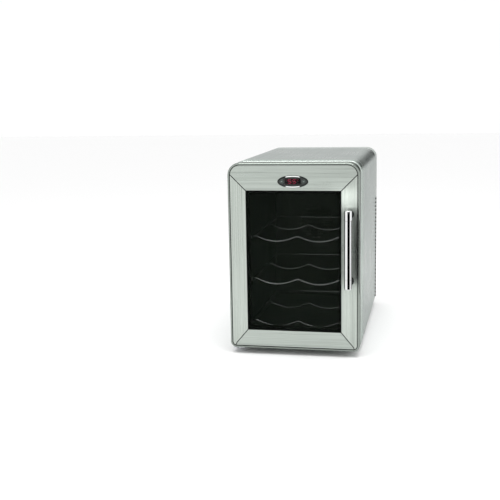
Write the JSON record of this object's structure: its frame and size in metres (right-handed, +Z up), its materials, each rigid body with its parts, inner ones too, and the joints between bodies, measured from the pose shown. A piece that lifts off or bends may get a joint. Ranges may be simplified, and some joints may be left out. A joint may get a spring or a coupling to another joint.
{
  "type": "wine cooler",
  "caption": "Countertop thermoelectric wine cooler: brushed steel cabinet, framed glass door with bar handle and display, wavy wire shelves, fans and heat sinks inside.",
  "frame": {"origin": "on the floor below the middle of the overall box", "axes": "+Z up, the door faces -Y, +X to the right seen from the front"},
  "size_m": [0.254, 0.508, 0.376],
  "materials": {
    "brushed_steel": "satin",
    "silver_moulding": "satin",
    "zinc_steel": "satin",
    "black_rubber": "matte",
    "black_moulding": "satin",
    "grey_moulding": "satin",
    "white_foam": "matte",
    "aluminium": "satin",
    "white_ceramic": "matte",
    "circuit_board": "satin",
    "components": "satin",
    "contact_metal": "satin",
    "wire_sleeve": "satin",
    "frosted_lens": "satin",
    "bearing_plastic": "satin",
    "smoked_glass": "gloss",
    "clear_glass": "gloss",
    "magnet": "matte",
    "chrome": "polished",
    "dark_metal": "polished",
    "display_black": "gloss",
    "button_grey": "satin"
  },
  "bodies": {
    "cabinet": {"front_ring": "silver_moulding", "outer_wrap": "brushed_steel", "base_pan": "zinc_steel", "feet": "black_rubber", "cabinet_screws": "zinc_steel", "inner_liner": "black_moulding", "insulation_foam": "white_foam", "strike_strips": "zinc_steel", "rear_plate": "zinc_steel", "rear_cover": "grey_moulding", "inner_fan_cover": "black_moulding", "cold_fan_frame": "black_moulding", "cold_sink": "aluminium", "cold_block": "aluminium", "peltier_module": "white_ceramic", "hot_sink": "aluminium", "cooling_screws": "zinc_steel", "hot_fan_frame": "black_moulding", "power_board": "circuit_board", "power_components": "components", "power_inlet": "black_moulding", "inlet_pins": "contact_metal", "wiring": "wire_sleeve", "lamp_lens": "frosted_lens", "lamp_board": "circuit_board", "sensor_cover": "black_moulding", "hinge_bracket_bottom": "zinc_steel", "hinge_bracket_top": "zinc_steel", "hinge_pins": "zinc_steel"},
    "door": {"hinge_bushes": "bearing_plastic", "hinge_blocks": "black_moulding", "door_rim": "silver_moulding", "door_core": "black_moulding", "outer_glass": "smoked_glass", "glass_spacer": "aluminium", "inner_glass": "clear_glass", "door_inner_frame": "black_moulding", "door_gasket": "black_rubber", "gasket_magnets": "magnet", "door_foam": "white_foam", "control_bezel": "chrome", "control_fascia": "black_moulding", "display_window": "display_black", "control_board": "circuit_board", "handle_tube": "chrome", "handle_end_caps": "chrome", "handle_posts": "dark_metal", "handle_collars": "dark_metal", "handle_screws": "zinc_steel", "trim_panel_top": "brushed_steel", "trim_panel_bottom": "brushed_steel", "trim_panel_left": "brushed_steel", "trim_panel_right": "brushed_steel"},
    "cold_fan": {"cold_fan_rotor": "black_moulding"},
    "hot_fan": {"hot_fan_rotor": "black_moulding"},
    "left_button": {"button_left": "button_grey"},
    "right_button": {"button_right": "button_grey"},
    "top_shelf": {"shelf_top": "chrome"},
    "middle_shelf": {"shelf_middle": "chrome"},
    "bottom_shelf": {"shelf_bottom": "chrome"}
  },
  "joints": [
    {"name": "door_hinge", "type": "hinge", "parent": "cabinet", "child": "door", "pos_m": [-0.119, -0.205, 0.19], "axis": [0, 0, -1], "range_deg": [0, 115]},
    {"name": "cold_fan_spin", "type": "hinge", "parent": "cabinet", "child": "cold_fan", "pos_m": [0, 0.13, 0.215], "axis": [0, 1, 0], "continuous": true},
    {"name": "hot_fan_spin", "type": "hinge", "parent": "cabinet", "child": "hot_fan", "pos_m": [0, 0.23, 0.215], "axis": [0, 1, 0], "continuous": true},
    {"name": "left_button_press", "type": "slide", "parent": "door", "child": "left_button", "axis": [0, 1, 0], "range_m": [0, 0.0008], "stiffness_N_per_m": 600, "springref_m": -0.0005},
    {"name": "right_button_press", "type": "slide", "parent": "door", "child": "right_button", "axis": [0, 1, 0], "range_m": [0, 0.0008], "stiffness_N_per_m": 600, "springref_m": -0.0005},
    {"name": "top_shelf_slide", "type": "slide", "parent": "cabinet", "child": "top_shelf", "axis": [0, -1, 0], "range_m": [0, 0.01]},
    {"name": "middle_shelf_slide", "type": "slide", "parent": "cabinet", "child": "middle_shelf", "axis": [0, -1, 0], "range_m": [0, 0.01]},
    {"name": "bottom_shelf_slide", "type": "slide", "parent": "cabinet", "child": "bottom_shelf", "axis": [0, -1, 0], "range_m": [0, 0.01]}
  ]
}
